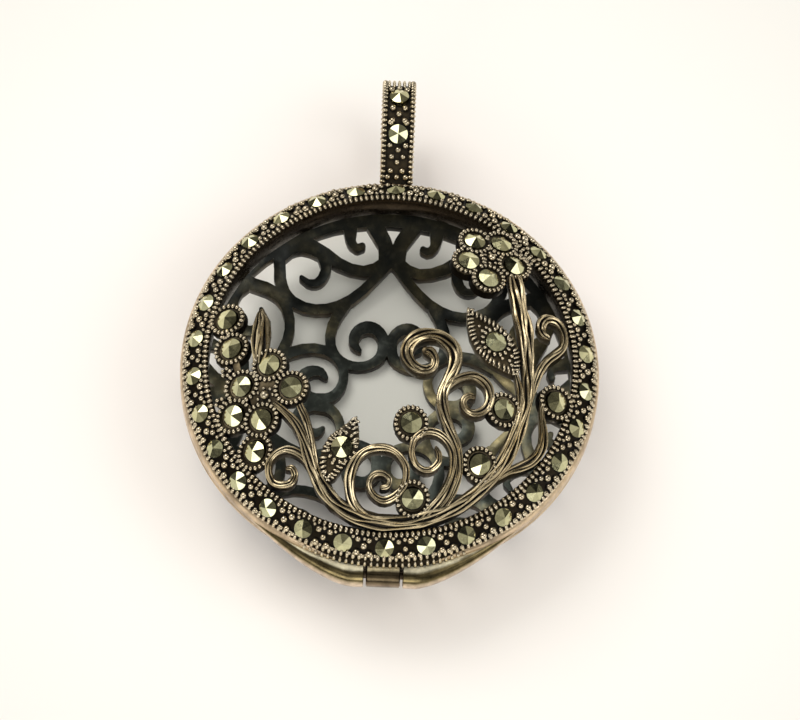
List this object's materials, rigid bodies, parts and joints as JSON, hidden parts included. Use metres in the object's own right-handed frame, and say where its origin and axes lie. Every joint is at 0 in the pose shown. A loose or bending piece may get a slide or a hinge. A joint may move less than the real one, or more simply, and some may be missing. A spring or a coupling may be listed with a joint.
{
  "type": "pendant locket",
  "caption": "Round hinged pendant locket with a domed stone-set ring and openwork flower spray over a pierced dished back, hung from a stone-set bail.",
  "frame": {"origin": "under the middle of the whole closed locket, on the plane its back rests on", "axes": "+X to the right and +Y from the hinge towards the bail as the front is looked at, +Z out of the front cover"},
  "size_m": [0.0322, 0.0426, 0.0129],
  "materials": {
    "bright_silver": "antiqued sterling silver, rubbed bright on the high points and dark in the recesses",
    "oxidised_silver": "heavily oxidised sterling silver, blue-black with brown patches",
    "marcasite": "polished faceted pyrite, pale yellow-green"
  },
  "bodies": {
    "back_case": {"back_rim": "bright_silver", "pierced_back": "oxidised_silver", "centre_knuckle": "bright_silver", "catch_tongue": "bright_silver"},
    "front_cover": {"front_ring": "bright_silver", "flower_spray": "bright_silver", "bail": "bright_silver", "hinge_pin": "bright_silver", "ring_stone_01": "marcasite", "ring_stone_02": "marcasite", "ring_stone_03": "marcasite", "ring_stone_04": "marcasite", "ring_stone_05": "marcasite", "ring_stone_06": "marcasite", "ring_stone_07": "marcasite", "ring_stone_08": "marcasite", "ring_stone_09": "marcasite", "ring_stone_10": "marcasite", "ring_stone_11": "marcasite", "ring_stone_12": "marcasite", "ring_stone_13": "marcasite", "ring_stone_14": "marcasite", "ring_stone_15": "marcasite", "ring_stone_16": "marcasite", "ring_stone_17": "marcasite", "ring_stone_18": "marcasite", "ring_stone_19": "marcasite", "ring_stone_20": "marcasite", "ring_stone_21": "marcasite", "ring_stone_22": "marcasite", "ring_stone_23": "marcasite", "ring_stone_24": "marcasite", "ring_stone_25": "marcasite", "ring_stone_26": "marcasite", "ring_stone_27": "marcasite", "ring_stone_28": "marcasite", "ring_stone_29": "marcasite", "ring_stone_30": "marcasite", "right_flower_stone_1": "marcasite", "right_flower_stone_2": "marcasite", "right_flower_stone_3": "marcasite", "right_flower_stone_4": "marcasite", "right_flower_stone_5": "marcasite", "left_flower_stone_1": "marcasite", "left_flower_stone_2": "marcasite", "left_flower_stone_3": "marcasite", "left_flower_stone_4": "marcasite", "left_flower_stone_5": "marcasite", "bud_stone_1": "marcasite", "bud_stone_2": "marcasite", "bud_stone_3": "marcasite", "bud_stone_4": "marcasite", "bud_stone_5": "marcasite", "bud_stone_6": "marcasite", "bud_stone_7": "marcasite", "bud_stone_8": "marcasite", "leaf_stone_1": "marcasite", "leaf_stone_2": "marcasite", "bail_stone_1": "marcasite", "bail_stone_2": "marcasite"}
  },
  "joints": [
    {"name": "cover_hinge", "type": "hinge", "parent": "back_case", "child": "front_cover", "pos_m": [0, -0.0204, 0.00598], "axis": [1, 0, 0], "range_deg": [0, 160]}
  ]
}
